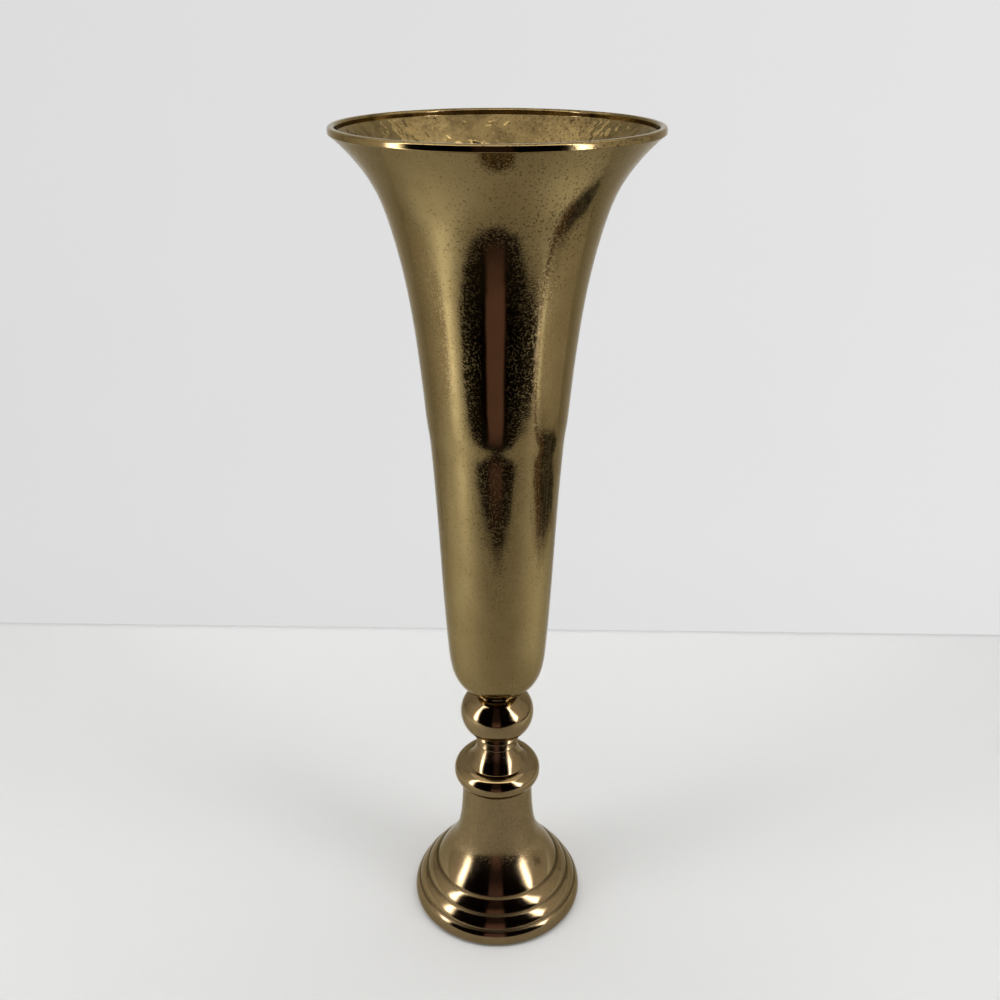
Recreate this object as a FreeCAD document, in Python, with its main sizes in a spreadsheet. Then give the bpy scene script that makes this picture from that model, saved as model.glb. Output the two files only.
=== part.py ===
import FreeCAD, Part
import math
import os
import Sketcher

# A cast trumpet vase on a turned stem. Four castings stand on one another along one upright
# axis: bell foot, ring knop, ball knop and trumpet bowl. A threaded stud in the bowl's blind
# boss runs down through the knops and is drawn tight by a nut and washers inside the foot.
# Lengths are in millimetres. Z is up, and the table is at height zero.

sizes = {
    # felt pads under the foot
    "pad_thickness": 1.0,
    "pad_radius": 3.5,
    # bell foot
    "foot_height": 113.3,
    "foot_radius": 68.3,
    "foot_neck_radius": 27.6,
    "foot_steps_height": 32.5,
    "foot_edge_round": 3.0,
    "foot_band_round": 21.0,
    "foot_last_band_round": 14.5,
    "foot_wall": 3.2,
    "foot_rim_width": 10.8,
    "foot_ceiling": 8.0,
    # ring knop
    "ring_knop_height": 43.2,
    "ring_knop_radius": 33.8,
    "ring_bead_round": 10.0,
    "ring_waist_radius": 14.4,
    "ring_collar_height": 7.2,
    "ring_collar_edge": 0.6,
    "ring_collar_radius": 16.4,
    "ring_top_radius": 14.2,
    # ball knop
    "ball_knop_height": 44.0,
    "ball_radius": 28.2,
    "ball_foot_height": 5.6,
    "ball_foot_edge": 0.6,
    "ball_foot_radius": 17.8,
    "ball_waist_radius": 16.0,
    "ball_end_radius": 17.5,
    "ball_collar_height": 4.0,
    "ball_collar_radius": 16.0,
    # trumpet bowl
    "bowl_height": 408.5,
    "bowl_seat_radius": 17.0,
    "bowl_round_height": 34.5,
    "bowl_tube_radius": 36.7,
    "bowl_wall": 3.0,
    "bowl_floor": 9.0,
    "boss_radius": 9.0,
    "boss_draft": 2.5,
    "boss_height": 12.0,
    "mouth_radius": 102.0,
    "lip_width": 4.8,
    "lip_height": 4.6,
    "lip_round": 1.6,
    "lip_foot_round": 0.9,
    # tie stud and its hardware
    "stud_radius": 4.0,
    "stud_chamfer": 0.8,
    "stud_engagement": 12.0,
    "stud_tail": 6.0,
    "stud_end_gap": 2.0,
    "bore_clearance": 0.5,
    "thread_play": 0.15,
    "drill_tip": 2.4,
    "washer_radius": 8.0,
    "washer_thickness": 1.6,
    "washer_clearance": 0.2,
    "lock_washer_radius": 7.0,
    "lock_washer_thickness": 2.0,
    "lock_washer_gap": 1.4,
    "lock_washer_lean": 0.8,
    "nut_half_flats": 6.5,
    "nut_height": 6.5,
    # how far a cut runs past the face that it opens
    "overrun": 1.0,
}

# Poles of the bowl's round bottom: share of the way from seat to tube, share of its height,
# and how much of the wall the inner pole stands inward and upward.
bottom_shares = (
    (0.305, 0.03, 0.20, 0.90),
    (0.848, 0.333, 0.70, 0.70),
    (1.0, 1.0, 1.0, 0.03),
)
# The same for the long flare, from the tube to the mouth and from the round bottom to the lip.
flare_shares = (
    (0.037, 0.119, 1.0, 0.05),
    (0.089, 0.309, 1.0, 0.06),
    (0.179, 0.525, 1.0, 0.09),
    (0.282, 0.715, 0.99, 0.16),
    (0.461, 0.864, 0.95, 0.33),
    (0.651, 0.945, 0.84, 0.54),
)
inner_lip_rise_share = 0.17
# Creases between the foot's three bands: share of the way from neck to edge, and of the height
# of the steps.
crease_shares = ((0.526, 1.0), (0.735, 0.692), (0.902, 0.40))
# Poles of the foot's flare above its bands, from the top crease to the neck.
foot_flare_shares = (
    (0.406, 0.111, 0.78, 0.63),
    (0.216, 0.229, 0.87, 0.50),
    (0.092, 0.377, 0.95, 0.30),
    (0.014, 0.613, 1.0, 0.10),
    (0.0, 0.885, 1.0, 0.0),
)
crease_wall_shares = (0.80, 0.60)
foot_hollow_shares = ((0.640, 0.63), (0.735, 0.28))
# The ring knop's bead, as parts of its radius from its centre, and its cove above the bead.
bead_centre_share = 0.93
bead_start_share = 0.368
bead_end_shares = (0.04, 0.999)
cove_shares = ((0.71, 0.15), (0.39, 0.42), (0.19, 0.69))
# The short flare on the ring's collar and on the ball's foot: share of the way out to the edge,
# and of the height above it.
edge_flare_shares = ((0.60, 0.30), (0.26, 0.65))
# The ball's poles, as parts of its radius and of the height from its waist to its collar.
ball_pole_shares = ((0.80, 0.0), (1.0142, 0.267), (1.0142, 0.678), (0.787, 0.912))
pad_count = 4


class Size:
    """A length, as its number and as the expression that ties it to the spreadsheet."""

    def __init__(self, text, value):
        self.text = text
        self.value = value

    def __add__(self, other):
        return Size(f"({self.text} + {other.text})", self.value + other.value)

    def __sub__(self, other):
        return Size(f"({self.text} - {other.text})", self.value - other.value)

    def __mul__(self, share):
        return Size(f"({self.text}) * {share}", self.value * share)

    def __neg__(self):
        return Size(f"-({self.text})", -self.value)


class Named:
    """The spreadsheet's aliases, each read as a Size."""

    def __getattr__(self, alias):
        return Size(f"Sizes.{alias}", sizes[alias])


zero = Size("0", 0.0)
half = 0.5
size = Named()


class Place:
    """Sketcher's numbers for the points of an edge."""

    start, end, centre = range(1, 4)


class Axis:
    """Sketcher's numbers for the sketch's own axes."""

    level, upright = range(-1, -3, -1)


def write_sheet(doc):
    sheet = doc.addObject("Spreadsheet::Sheet", "Sizes")
    for row, (alias, value) in enumerate(sizes.items(), start=1):
        sheet.set(f"A{row}", alias)
        sheet.set(f"B{row}", str(value))
        sheet.setAlias(f"B{row}", alias)
    doc.recompute()


def new_body(doc, label, height):
    body = doc.addObject("PartDesign::Body", label)
    body.Label = label
    body.Placement = FreeCAD.Placement(FreeCAD.Vector(0, 0, height.value), FreeCAD.Rotation())
    body.setExpression("Placement.Base.z", height.text)
    return body


def origin_plane(body, role):
    for feature in body.Origin.OriginFeatures:
        if feature.Role == role:
            return feature
    raise ValueError(role)


def new_sketch(body, name, role):
    sketch = body.newObject("Sketcher::SketchObject", name)
    sketch.AttachmentSupport = [(origin_plane(body, role), "")]
    sketch.MapMode = "FlatFace"
    return sketch


def bind(sketch, kind, geometry, place, length):
    """Hold one coordinate of a point, or one radius, at a Size."""
    if kind == "Radius":
        index = sketch.addConstraint(Sketcher.Constraint(kind, geometry, length.value))
    else:
        origin = (Axis.level, Place.start)
        index = sketch.addConstraint(Sketcher.Constraint(kind, *origin, geometry, place, length.value))
    sketch.setExpression(f"Constraints[{index}]", length.text)


def pin(sketch, geometry, place, point):
    """Hold a point of the sketch at its two Sizes, or on an axis where one is zero."""
    across, up = point
    for kind, length, axis in (("DistanceX", across, Axis.upright), ("DistanceY", up, Axis.level)):
        if length is zero:
            sketch.addConstraint(Sketcher.Constraint("PointOnObject", geometry, place, axis))
        else:
            bind(sketch, kind, geometry, place, length)


def vector(point):
    return FreeCAD.Vector(point[0].value, point[1].value, 0)


class Outline:
    """A closed outline drawn from point to point, each point a pair of Sizes."""

    def __init__(self, body, name, role, start):
        self.sketch = new_sketch(body, name, role)
        self.start = start
        self.here = start
        self.first = None
        self.last = None

    def _join(self, geometry, near, far, point):
        if self.last:
            self.sketch.addConstraint(Sketcher.Constraint("Coincident", *self.last, geometry, near))
        else:
            self.first = (geometry, near)
            pin(self.sketch, geometry, near, self.start)
        if point is self.start:
            self.sketch.addConstraint(Sketcher.Constraint("Coincident", *self.first, geometry, far))
        else:
            pin(self.sketch, geometry, far, point)
        self.last = (geometry, far)
        self.here = point

    def line(self, *points):
        for point in points:
            edge = Part.LineSegment(vector(self.here), vector(point))
            geometry = self.sketch.addGeometry(edge, False)
            self._join(geometry, Place.start, Place.end, point)

    def arc(self, point, radius, leftward):
        """A round edge to the point. It bulges to the right of its path, or leftward."""
        start = vector(self.here)
        end = vector(point)
        chord = end - start
        across = FreeCAD.Vector(-chord.y, chord.x, 0).normalize()
        reach = math.sqrt(radius.value ** 2 - (chord.Length * half) ** 2)
        centre = (start + end) * half + across * (-reach if leftward else reach)
        circle = Part.Circle(centre, FreeCAD.Vector(0, 0, 1), radius.value)
        to_start = math.atan2(start.y - centre.y, start.x - centre.x)
        to_end = math.atan2(end.y - centre.y, end.x - centre.x)
        if leftward:
            edge = Part.ArcOfCircle(circle, to_end, to_start)
            near, far = Place.end, Place.start
        else:
            edge = Part.ArcOfCircle(circle, to_start, to_end)
            near, far = Place.start, Place.end
        geometry = self.sketch.addGeometry(edge, False)
        self._join(geometry, near, far, point)
        bind(self.sketch, "Radius", geometry, 0, radius)

    def curve(self, *points):
        """A cubic spline from here to the last of the points, with the others as its poles."""
        poles = [self.here, *points]
        weight = size.overrun.value
        circles = []
        for pole in poles:
            circle = Part.Circle(vector(pole), FreeCAD.Vector(0, 0, 1), weight)
            circles.append(self.sketch.addGeometry(circle, True))
        edge = Part.BSplineCurve([vector(pole) for pole in poles], None, None, False, 3, None, False)
        geometry = self.sketch.addGeometry(edge, False)
        for number, circle in enumerate(circles):
            if number:
                self.sketch.addConstraint(Sketcher.Constraint("Equal", circles[0], circle))
            else:
                self.sketch.addConstraint(Sketcher.Constraint("Weight", circle, 1.0))
            kind = "InternalAlignment:Sketcher::BSplineControlPoint"
            alignment = Sketcher.Constraint(kind, circle, Place.centre, geometry, number)
            self.sketch.addConstraint(alignment)
        for pole, circle in list(zip(poles, circles))[1:-1]:
            pin(self.sketch, circle, Place.centre, pole)
        self._join(geometry, Place.start, Place.end, points[-1])

    def close(self):
        self.line(self.start)
        return self.sketch


def turn(body, name, sketch, kind="PartDesign::Revolution"):
    """A full turn of an outline about the upright axis, added or, as a Groove, cut away."""
    feature = body.newObject(kind, name)
    feature.Profile = sketch
    feature.ReferenceAxis = (sketch, ["V_Axis"])
    feature.Angle = 360
    return feature


def extrude(body, name, sketch, length, kind="PartDesign::Pad"):
    feature = body.newObject(kind, name)
    feature.Profile = sketch
    feature.Length = length.value
    feature.setExpression("Length", length.text)
    return feature


def ring_sketch(body, name, *radii):
    """Circles about the upright axis."""
    sketch = new_sketch(body, name, "XY_Plane")
    for radius in radii:
        circle = Part.Circle(FreeCAD.Vector(0, 0, 0), FreeCAD.Vector(0, 0, 1), radius.value)
        geometry = sketch.addGeometry(circle, False)
        origin = (Axis.level, Place.start)
        sketch.addConstraint(Sketcher.Constraint("Coincident", geometry, Place.centre, *origin))
        bind(sketch, "Radius", geometry, 0, radius)
    return sketch


bore_radius = size.stud_radius + size.bore_clearance
thread_radius = size.stud_radius + size.thread_play

foot_base = size.pad_thickness
ring_base = foot_base + size.foot_height
ball_base = ring_base + size.ring_knop_height
bowl_base = ball_base + size.ball_knop_height
washer_base = ring_base - size.foot_ceiling - size.washer_thickness
lock_washer_base = washer_base - size.lock_washer_thickness
nut_base = lock_washer_base - size.nut_height
stud_base = nut_base - size.stud_tail
stud_length = bowl_base + size.stud_engagement - stud_base


def make_foot_pads(doc):
    """Small felt discs on the flat ring under the foot's edge."""
    body = new_body(doc, "foot_pads", zero)
    middle = size.foot_radius - (size.foot_rim_width + size.foot_edge_round) * half
    sketch = new_sketch(body, "pad_sketch", "XY_Plane")
    centre = FreeCAD.Vector(middle.value, 0, 0)
    circle = Part.Circle(centre, FreeCAD.Vector(0, 0, 1), size.pad_radius.value)
    geometry = sketch.addGeometry(circle, False)
    pin(sketch, geometry, Place.centre, (middle, zero))
    bind(sketch, "Radius", geometry, 0, size.pad_radius)
    disc = extrude(body, "pad_disc", sketch, size.pad_thickness)
    doc.recompute()
    pattern = body.newObject("PartDesign::PolarPattern", "pad_ring")
    pattern.Originals = [disc]
    pattern.Axis = (sketch, ["N_Axis"])
    pattern.Angle = 360
    pattern.Occurrences = pad_count
    body.Tip = pattern
    return body


def make_bell_foot(doc):
    """Hollow casting: three rounded bands, a concave flare and a straight neck."""
    body = new_body(doc, "bell_foot", foot_base)
    spread = size.foot_radius - size.foot_neck_radius
    rise = size.foot_height - size.foot_steps_height
    ceiling = size.foot_height - size.foot_ceiling
    rim_radius = size.foot_radius - size.foot_rim_width
    creases = []
    for across, up in crease_shares:
        creases.append((size.foot_neck_radius + spread * across, size.foot_steps_height * up))

    outline = Outline(body, "foot_outline", "XZ_Plane", (rim_radius, zero))
    outline.line((size.foot_radius - size.foot_edge_round, zero))
    outline.arc((size.foot_radius, size.foot_edge_round), size.foot_edge_round, False)
    outline.arc(creases[2], size.foot_last_band_round, False)
    outline.arc(creases[1], size.foot_band_round, False)
    outline.arc(creases[0], size.foot_band_round, False)
    outer = []
    inner = []
    for across, up, inward, downward in foot_flare_shares:
        radius = size.foot_neck_radius + spread * across
        height = size.foot_steps_height + rise * up
        outer.append((radius, height))
        inner.append((radius - size.foot_wall * inward, height - size.foot_wall * downward))
    outline.curve(*outer, (size.foot_neck_radius, size.foot_height))
    outline.line((bore_radius, size.foot_height), (bore_radius, ceiling))
    outline.line((size.foot_neck_radius - size.foot_wall, ceiling))
    inward, downward = crease_wall_shares
    below = [(creases[0][0] - size.foot_wall * inward, creases[0][1] - size.foot_wall * downward)]
    for across, up in foot_hollow_shares:
        below.append((size.foot_neck_radius + spread * across, size.foot_steps_height * up))
    outline.curve(*reversed(inner[:-1]), *below, outline.start)
    turn(body, "foot_casting", outline.sketch)
    return body


def make_ring_knop(doc):
    """Solid knop: a full bead below, a sloped dome above it and a sharp-edged collar on top."""
    body = new_body(doc, "ring_knop", ring_base)
    centre_radius = size.ring_knop_radius - size.ring_bead_round
    centre_height = size.ring_bead_round * bead_centre_share
    bead_foot = centre_radius + size.ring_bead_round * bead_start_share
    across, up = bead_end_shares
    bead_top = (centre_radius + size.ring_bead_round * across, centre_height + size.ring_bead_round * up)
    neck_height = size.ring_knop_height - size.ring_collar_height
    dome = []
    for across, up in cove_shares:
        radius = size.ring_waist_radius + (bead_top[0] - size.ring_waist_radius) * across
        dome.append((radius, bead_top[1] + (neck_height - bead_top[1]) * up))
    edge_height = neck_height + size.ring_collar_edge
    collar = []
    for across, up in edge_flare_shares:
        radius = size.ring_top_radius + (size.ring_collar_radius - size.ring_top_radius) * across
        collar.append((radius, edge_height + (size.ring_knop_height - edge_height) * up))

    outline = Outline(body, "ring_outline", "XZ_Plane", (bore_radius, zero))
    outline.line((bead_foot, zero))
    outline.arc(bead_top, size.ring_bead_round, False)
    outline.curve(*dome, (size.ring_waist_radius, neck_height))
    outline.line((size.ring_collar_radius, neck_height), (size.ring_collar_radius, edge_height))
    outline.curve(*collar, (size.ring_top_radius, size.ring_knop_height))
    outline.line((bore_radius, size.ring_knop_height))
    turn(body, "ring_casting", outline.close())
    return body


def make_ball_knop(doc):
    """Solid knop: a flattened ball between a small flared foot and a plain collar."""
    body = new_body(doc, "ball_knop", ball_base)
    top = size.ball_knop_height - size.ball_collar_height
    waist = (size.ball_waist_radius, size.ball_foot_height)
    foot = []
    for across, up in edge_flare_shares:
        radius = waist[0] + (size.ball_foot_radius - waist[0]) * across
        foot.append((radius, size.ball_foot_edge + (waist[1] - size.ball_foot_edge) * up))
    ball = []
    for across, up in ball_pole_shares:
        ball.append((size.ball_radius * across, waist[1] + (top - waist[1]) * up))

    outline = Outline(body, "ball_outline", "XZ_Plane", (bore_radius, zero))
    outline.line((size.ball_foot_radius, zero), (size.ball_foot_radius, size.ball_foot_edge))
    outline.curve(*foot, waist)
    outline.curve(*ball, (size.ball_end_radius, top))
    outline.line((size.ball_collar_radius, top), (size.ball_collar_radius, size.ball_knop_height))
    outline.line((bore_radius, size.ball_knop_height))
    turn(body, "ball_casting", outline.close())
    return body


def make_trumpet_bowl(doc):
    """Thin casting: round closed bottom, long flare, thickened lip and a tapped boss inside."""
    body = new_body(doc, "trumpet_bowl", bowl_base)
    lip_foot = size.bowl_height - size.lip_height
    outer = []
    inner = []
    for across, up, inward, upward in bottom_shares:
        radius = size.bowl_seat_radius + (size.bowl_tube_radius - size.bowl_seat_radius) * across
        height = size.bowl_round_height * up
        outer.append((radius, height))
        inner.append((radius - size.bowl_wall * inward, height + size.bowl_wall * upward))
    inner[0] = (inner[0][0], size.bowl_floor)
    for across, up, inward, upward in flare_shares:
        radius = size.bowl_tube_radius + (size.mouth_radius - size.bowl_tube_radius) * across
        height = size.bowl_round_height + (lip_foot - size.bowl_round_height) * up
        outer.append((radius, height))
        inner.append((radius - size.bowl_wall * inward, height + size.bowl_wall * upward))
    inner_radius = size.mouth_radius - size.lip_width
    inner_end = (inner_radius, lip_foot + size.bowl_wall * inner_lip_rise_share)
    boss_top = size.bowl_floor + size.boss_height

    outline = Outline(body, "bowl_outline", "XZ_Plane", (zero, zero))
    outline.line((size.bowl_seat_radius, zero))
    outline.curve(*outer, (size.mouth_radius - size.lip_foot_round, lip_foot))
    outline.arc((size.mouth_radius, lip_foot + size.lip_foot_round), size.lip_foot_round, False)
    outline.line((size.mouth_radius, size.bowl_height - size.lip_round))
    outline.arc((size.mouth_radius - size.lip_round, size.bowl_height), size.lip_round, False)
    outline.line((inner_radius + size.lip_round, size.bowl_height))
    outline.arc((inner_radius, size.bowl_height - size.lip_round), size.lip_round, False)
    outline.line(inner_end)
    outline.curve(*reversed(inner), (size.boss_radius + size.boss_draft, size.bowl_floor))
    outline.line((size.boss_radius, boss_top), (zero, boss_top))
    turn(body, "bowl_casting", outline.close())

    depth = size.stud_engagement + size.stud_end_gap
    hole = Outline(body, "tapped_hole_outline", "XZ_Plane", (zero, zero))
    hole.line((thread_radius, zero), (thread_radius, depth), (zero, depth + size.drill_tip))
    turn(body, "tapped_hole", hole.close(), "PartDesign::Groove")
    return body


def make_tie_stud(doc):
    """Threaded stud from the bowl's boss to below the nut."""
    body = new_body(doc, "tie_stud", stud_base)
    sketch = ring_sketch(body, "stud_circle", size.stud_radius)
    rod = extrude(body, "stud_rod", sketch, stud_length)
    doc.recompute()
    ends = []
    for number, edge in enumerate(rod.Shape.Edges, start=1):
        if isinstance(edge.Curve, Part.Circle):
            ends.append(f"Edge{number}")
    chamfer = body.newObject("PartDesign::Chamfer", "stud_ends")
    chamfer.Base = (rod, ends)
    chamfer.Size = size.stud_chamfer.value
    chamfer.setExpression("Size", size.stud_chamfer.text)
    return body


def make_flat_washer(doc):
    body = new_body(doc, "flat_washer", washer_base)
    hole = size.stud_radius + size.washer_clearance
    sketch = ring_sketch(body, "washer_circles", hole, size.washer_radius)
    extrude(body, "washer_disc", sketch, size.washer_thickness)
    return body


def make_lock_washer(doc):
    """Spring washer with one slanted split, drawn flat under load."""
    body = new_body(doc, "lock_washer", lock_washer_base)
    hole = size.stud_radius + size.washer_clearance
    sketch = ring_sketch(body, "lock_circles", hole, size.lock_washer_radius)
    extrude(body, "lock_ring", sketch, size.lock_washer_thickness)
    half_gap = size.lock_washer_gap * half
    low = -size.overrun
    high = size.lock_washer_thickness + size.overrun
    lean = size.lock_washer_lean
    split = Outline(body, "lock_split_outline", "XZ_Plane", (-(half_gap + lean), low))
    split.line((half_gap - lean, low), (half_gap + lean, high), (lean - half_gap, high))
    reach = size.lock_washer_radius + size.overrun
    extrude(body, "lock_split", split.close(), reach, "PartDesign::Pocket")
    return body


def make_hex_nut(doc):
    """Hexagon nut with its corners turned off at both ends."""
    body = new_body(doc, "hex_nut", nut_base)
    flats = size.nut_half_flats
    slope_share = math.tan(math.pi / 6)
    corner = flats * (1 / math.cos(math.pi / 6))
    side = flats * slope_share
    hexagon = Outline(body, "nut_hexagon", "XY_Plane", (flats, -side))
    hexagon.line((flats, side), (zero, corner), (-flats, side), (-flats, -side), (zero, -corner))
    extrude(body, "nut_block", hexagon.close(), size.nut_height)
    hole = ring_sketch(body, "nut_hole_circle", thread_radius)
    cut = extrude(body, "nut_hole", hole, size.nut_height + size.overrun, "PartDesign::Pocket")
    cut.Reversed = True
    reach = corner - flats + size.overrun
    fall = reach * slope_share
    for name, end, inner in (
        ("upper", size.nut_height, size.nut_height - fall),
        ("lower", zero, fall),
    ):
        edge = Outline(body, f"nut_{name}_outline", "XZ_Plane", (flats, end))
        edge.line((flats + reach, end), (flats + reach, inner))
        turn(body, f"nut_{name}_chamfer", edge.close(), "PartDesign::Groove")
    return body


def check(doc, bodies):
    for item in doc.Objects:
        for state in item.State:
            if state in ("Invalid", "Error"):
                raise RuntimeError(f"{item.Name} is {state}")
    for body in bodies:
        if body.Shape.isNull() or not body.Shape.isValid():
            raise RuntimeError(f"{body.Label} has no valid shape")


def build():
    doc = FreeCAD.newDocument("trumpet_vase")
    write_sheet(doc)
    makers = (
        make_foot_pads,
        make_bell_foot,
        make_ring_knop,
        make_ball_knop,
        make_trumpet_bowl,
        make_tie_stud,
        make_flat_washer,
        make_lock_washer,
        make_hex_nut,
    )
    bodies = [make(doc) for make in makers]
    doc.recompute()
    check(doc, bodies)
    os.makedirs("parts", exist_ok=True)
    for body in bodies:
        body.Shape.exportStep(f"parts/{body.Label}.step")
        box = body.Shape.optimalBoundingBox()
        print(
            f"{body.Label}: {len(body.Shape.Solids)} solid, {body.Shape.Volume / 1000:.1f} cm3,"
            f" z {box.ZMin:.1f} to {box.ZMax:.1f}, width {box.XLength:.1f}"
        )


build()
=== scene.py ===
import math

import bmesh
import bpy
import numpy as np
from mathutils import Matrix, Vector


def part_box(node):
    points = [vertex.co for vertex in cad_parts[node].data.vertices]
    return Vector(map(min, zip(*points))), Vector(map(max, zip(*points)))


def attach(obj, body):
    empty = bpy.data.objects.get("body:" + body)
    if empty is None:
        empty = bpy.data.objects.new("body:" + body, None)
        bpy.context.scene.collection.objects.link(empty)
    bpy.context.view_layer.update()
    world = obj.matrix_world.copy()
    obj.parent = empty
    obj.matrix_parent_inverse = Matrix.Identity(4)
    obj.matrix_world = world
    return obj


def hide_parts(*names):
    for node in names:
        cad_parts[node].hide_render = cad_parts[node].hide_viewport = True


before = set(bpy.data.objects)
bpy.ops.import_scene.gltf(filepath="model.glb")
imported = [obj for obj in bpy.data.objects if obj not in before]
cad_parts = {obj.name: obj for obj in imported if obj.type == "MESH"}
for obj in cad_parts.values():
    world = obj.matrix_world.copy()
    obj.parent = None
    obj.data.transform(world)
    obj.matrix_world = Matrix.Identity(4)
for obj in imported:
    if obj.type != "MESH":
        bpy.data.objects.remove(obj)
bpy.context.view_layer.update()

# A cast trumpet vase in antique brass tone: dressed castings around the frame, the hardware inside
# the foot, and a pale studio box with one dark opening towards the camera.
# Lengths are in metres, in the frame's own axes, except where a comment says millimetres.
MM = 0.001
TAU = math.tau


def span(node):
    """A node's lowest height in the frame and its own height, in millimetres, to a thousandth."""
    low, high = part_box(node)
    return round(low[2] / MM, 3), round((high[2] - low[2]) / MM, 3)


# Outlines

def spline_points(poles, count=1200):
    """Points along the clamped uniform cubic spline that has these poles."""
    poles = np.asarray(poles, float)
    degree = 3
    spans = len(poles) - degree
    knots = np.concatenate([np.zeros(degree), np.arange(spans + 1.0), np.full(degree, float(spans))])
    at = np.linspace(0.0, spans, count)
    interval = np.clip(at.astype(int), 0, spans - 1) + degree
    basis = np.zeros((count, len(knots) - 1))
    basis[np.arange(count), interval] = 1.0
    for order in range(1, degree + 1):
        width = len(knots) - 1 - order
        near = knots[:width]
        far = knots[order + 1:order + 1 + width]
        rise_gap = knots[order:order + width] - near
        fall_gap = far - knots[1:1 + width]
        rise = (at[:, None] - near) * np.divide(1.0, rise_gap, out=np.zeros(width), where=rise_gap > 0)
        fall = (far - at[:, None]) * np.divide(1.0, fall_gap, out=np.zeros(width), where=fall_gap > 0)
        basis = rise * basis[:, :width] + fall * basis[:, 1:width + 1]
    return basis @ poles


def arc_points(start, end, radius, count=60):
    """Points along an arc that bulges to the right of the way from start to end."""
    start = np.asarray(start, float)
    end = np.asarray(end, float)
    chord = end - start
    length = np.hypot(*chord)
    left = np.array([-chord[1], chord[0]]) / length
    centre = (start + end) / 2 + left * math.sqrt(radius ** 2 - length ** 2 / 4)
    first = math.atan2(start[1] - centre[1], start[0] - centre[0])
    last = math.atan2(end[1] - centre[1], end[0] - centre[0])
    angles = first + ((last - first) % TAU) * np.linspace(0, 1, count)
    return centre + radius * np.stack([np.cos(angles), np.sin(angles)], 1)


def line_points(start, end, count=40):
    """Points along the straight line from start to end."""
    return np.linspace(start, np.asarray(end, float), count)


class Outline:
    """Smooth runs of (radius, height) in millimetres, joined end to end, outside on the right."""

    def __init__(self, start):
        self.runs = []
        self.here = np.asarray(start, float)

    def _add(self, points):
        self.runs.append(points)
        self.here = points[-1]

    def line(self, *points):
        for point in points:
            self._add(line_points(self.here, point))

    def arc(self, point, radius):
        self._add(arc_points(self.here, point, radius))

    def curve(self, *poles):
        self._add(spline_points([self.here, *poles]))

    def rows(self, step, fine):
        """Points in metres at an even step along each run, with finer rows beside the run's ends."""
        kept = []
        clear = 1.6 * fine
        shortest = 4 * fine
        for run in self.runs:
            length = np.concatenate([[0], np.cumsum(np.hypot(*np.diff(run, axis=0).T))])
            total = length[-1]
            at = np.linspace(0, total, max(2, int(math.ceil(total / step)) + 1))
            if total > shortest:
                at = at[(at <= 0) | (at >= total) | ((at > clear) & (at < total - clear))]
                at = np.sort(np.concatenate([at, [fine, total - fine]]))
            rows = np.stack([np.interp(at, length, run[:, 0]), np.interp(at, length, run[:, 1])], 1)
            kept.append(rows[:-1])
        kept.append(self.runs[-1][-1:])
        return np.concatenate(kept) * MM


def placed(corner, reach, shares):
    """Points at pairs of shares, across and up, of the reach from a corner."""
    return [(corner[0] + reach[0] * across, corner[1] + reach[1] * up) for across, up in shares]


def thickened(points, wall, shares):
    """The points moved by pairs of shares, inward and up, of the wall."""
    return [(x - wall * inward, y + wall * up) for (x, y), (inward, up) in zip(points, shares)]


# The castings' outlines, in millimetres above each one's own base. The shares are those of the
# castings' drawings.

BORE_RADIUS = 4.5
THREAD_RADIUS = 4.15
BANDS_HEIGHT = 32.5
CREASE_SHARES = ((0.526, 1.0), (0.735, 0.692), (0.902, 0.40))


def foot_outline(height):
    radius, neck = 68.3, 27.6
    wall, rim, ceiling = 3.2, 10.8, 8.0
    edge_round, band_round, last_band_round = 3.0, 21.0, 14.5
    flare_shares = ((0.406, 0.111), (0.216, 0.229), (0.092, 0.377), (0.014, 0.613), (0.0, 0.885))
    flare_wall_shares = ((0.78, -0.63), (0.87, -0.50), (0.95, -0.30), (1.0, -0.10))
    crease_wall_shares = ((0.80, -0.60),)
    hollow_shares = ((0.640, 0.63), (0.735, 0.28))
    spread = radius - neck
    creases = placed((neck, 0), (spread, BANDS_HEIGHT), CREASE_SHARES)
    outer = placed((neck, BANDS_HEIGHT), (spread, height - BANDS_HEIGHT), flare_shares)
    inner = thickened(outer, wall, flare_wall_shares)
    below = thickened(creases, wall, crease_wall_shares)
    below += placed((neck, 0), (spread, BANDS_HEIGHT), hollow_shares)
    start = (radius - rim, 0)
    outline = Outline(start)
    outline.line((radius - edge_round, 0))
    outline.arc((radius, edge_round), edge_round)
    outline.arc(creases[2], last_band_round)
    outline.arc(creases[1], band_round)
    outline.arc(creases[0], band_round)
    outline.curve(*outer, (neck, height))
    outline.line((BORE_RADIUS, height), (BORE_RADIUS, height - ceiling))
    outline.line((neck - wall, height - ceiling))
    outline.curve(*reversed(inner), *below, start)
    return outline


def ring_outline(height):
    radius, bead_round = 33.8, 10.0
    collar_height, collar, waist, top, lip = 7.2, 16.4, 14.4, 14.2, 0.6
    centre_share, start_share, end_shares = 0.93, 0.368, (0.04, 0.999)
    cove_shares = ((0.71, 0.15), (0.39, 0.42), (0.19, 0.69))
    collar_shares = ((0.60, 0.30), (0.26, 0.65))
    centre = (radius - bead_round, bead_round * centre_share)
    bead_top = placed(centre, (bead_round, bead_round), (end_shares,))[0]
    neck = height - collar_height
    cove = placed((waist, bead_top[1]), (bead_top[0] - waist, neck - bead_top[1]), cove_shares)
    flare = placed((top, neck + lip), (collar - top, collar_height - lip), collar_shares)
    outline = Outline((BORE_RADIUS, 0))
    outline.line((centre[0] + bead_round * start_share, 0))
    outline.arc(bead_top, bead_round)
    outline.curve(*cove, (waist, neck))
    outline.line((collar, neck), (collar, neck + lip))
    outline.curve(*flare, (top, height))
    outline.line((BORE_RADIUS, height), (BORE_RADIUS, 0))
    return outline


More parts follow.
